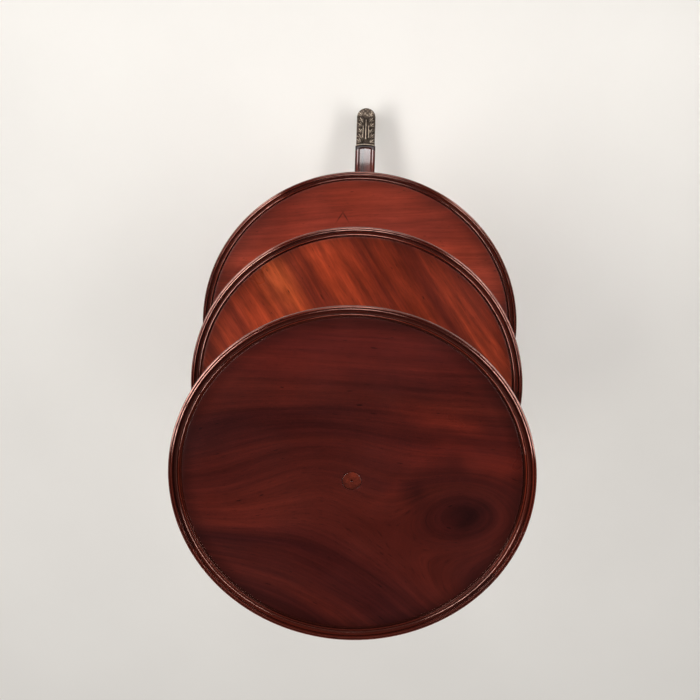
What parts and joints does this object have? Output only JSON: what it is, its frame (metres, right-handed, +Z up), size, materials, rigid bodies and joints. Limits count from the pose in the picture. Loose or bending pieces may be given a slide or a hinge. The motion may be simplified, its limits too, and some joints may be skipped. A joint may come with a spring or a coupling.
{
  "type": "dumbwaiter table",
  "caption": "Tiered mahogany dumbwaiter: graduated round trays with moulded rims that revolve on a turned column over a tripod of downswept legs with brass toe caps and casters.",
  "frame": {"origin": "on the floor, under the axis of the column", "axes": "+Z up along the column, +Y towards the rear leg"},
  "size_m": [0.6664, 0.68, 1.092],
  "materials": {
    "top_board_mahogany": "french polished",
    "middle_board_mahogany": "french polished",
    "bottom_board_mahogany": "french polished",
    "rim_mahogany": "french polished",
    "turned_mahogany": "french polished",
    "leg_mahogany": "french polished",
    "brass": "patinated casting",
    "steel": "aged",
    "iron": "wrought, blackened"
  },
  "bodies": {
    "stand": {"base_pillar": "turned_mahogany", "lower_column": "turned_mahogany", "upper_column": "turned_mahogany", "leg_rear": "leg_mahogany", "leg_left": "leg_mahogany", "leg_right": "leg_mahogany", "toe_cap_rear": "brass", "toe_cap_left": "brass", "toe_cap_right": "brass", "toe_cap_screws": "brass", "spider_plate": "iron", "spider_screws": "steel"},
    "top_tray": {"top_tray_board": "top_board_mahogany", "top_tray_rim": "rim_mahogany", "top_tray_collar": "turned_mahogany", "top_collar_screws": "steel"},
    "middle_tray": {"middle_tray_board": "middle_board_mahogany", "middle_tray_rim": "rim_mahogany", "middle_tray_collar": "turned_mahogany", "middle_collar_screws": "steel"},
    "bottom_tray": {"bottom_tray_board": "bottom_board_mahogany", "bottom_tray_rim": "rim_mahogany", "bottom_tray_collar": "turned_mahogany", "bottom_collar_screws": "steel"},
    "caster_rear": {"caster_horn_rear": "brass", "caster_pintle_rear": "steel", "caster_axle_rear": "steel"},
    "wheel_rear": {"caster_wheel_rear": "brass"},
    "caster_left": {"caster_horn_left": "brass", "caster_pintle_left": "steel", "caster_axle_left": "steel"},
    "wheel_left": {"caster_wheel_left": "brass"},
    "caster_right": {"caster_horn_right": "brass", "caster_pintle_right": "steel", "caster_axle_right": "steel"},
    "wheel_right": {"caster_wheel_right": "brass"}
  },
  "joints": [
    {"name": "top_tray_turn", "type": "hinge", "parent": "stand", "child": "top_tray", "pos_m": [0, 0, 1.084], "axis": [0, 0, 1], "continuous": true},
    {"name": "middle_tray_turn", "type": "hinge", "parent": "stand", "child": "middle_tray", "pos_m": [0, 0, 0.759], "axis": [0, 0, 1], "continuous": true},
    {"name": "bottom_tray_turn", "type": "hinge", "parent": "stand", "child": "bottom_tray", "pos_m": [0, 0, 0.434], "axis": [0, 0, 1], "continuous": true},
    {"name": "caster_swivel_rear", "type": "hinge", "parent": "stand", "child": "caster_rear", "pos_m": [0, 0.3545, 0.038], "axis": [0, 0, 1], "continuous": true},
    {"name": "wheel_spin_rear", "type": "hinge", "parent": "caster_rear", "child": "wheel_rear", "pos_m": [0, 0.3395, 0.014], "axis": [-1, 0, 0], "continuous": true},
    {"name": "caster_swivel_left", "type": "hinge", "parent": "stand", "child": "caster_left", "pos_m": [-0.30701, -0.17725, 0.038], "axis": [0, 0, 1], "continuous": true},
    {"name": "wheel_spin_left", "type": "hinge", "parent": "caster_left", "child": "wheel_left", "pos_m": [-0.29402, -0.16975, 0.014], "axis": [0.5, -0.866, 0], "continuous": true},
    {"name": "caster_swivel_right", "type": "hinge", "parent": "stand", "child": "caster_right", "pos_m": [0.30701, -0.17725, 0.038], "axis": [0, 0, 1], "continuous": true},
    {"name": "wheel_spin_right", "type": "hinge", "parent": "caster_right", "child": "wheel_right", "pos_m": [0.29402, -0.16975, 0.014], "axis": [0.5, 0.866, 0], "continuous": true}
  ]
}
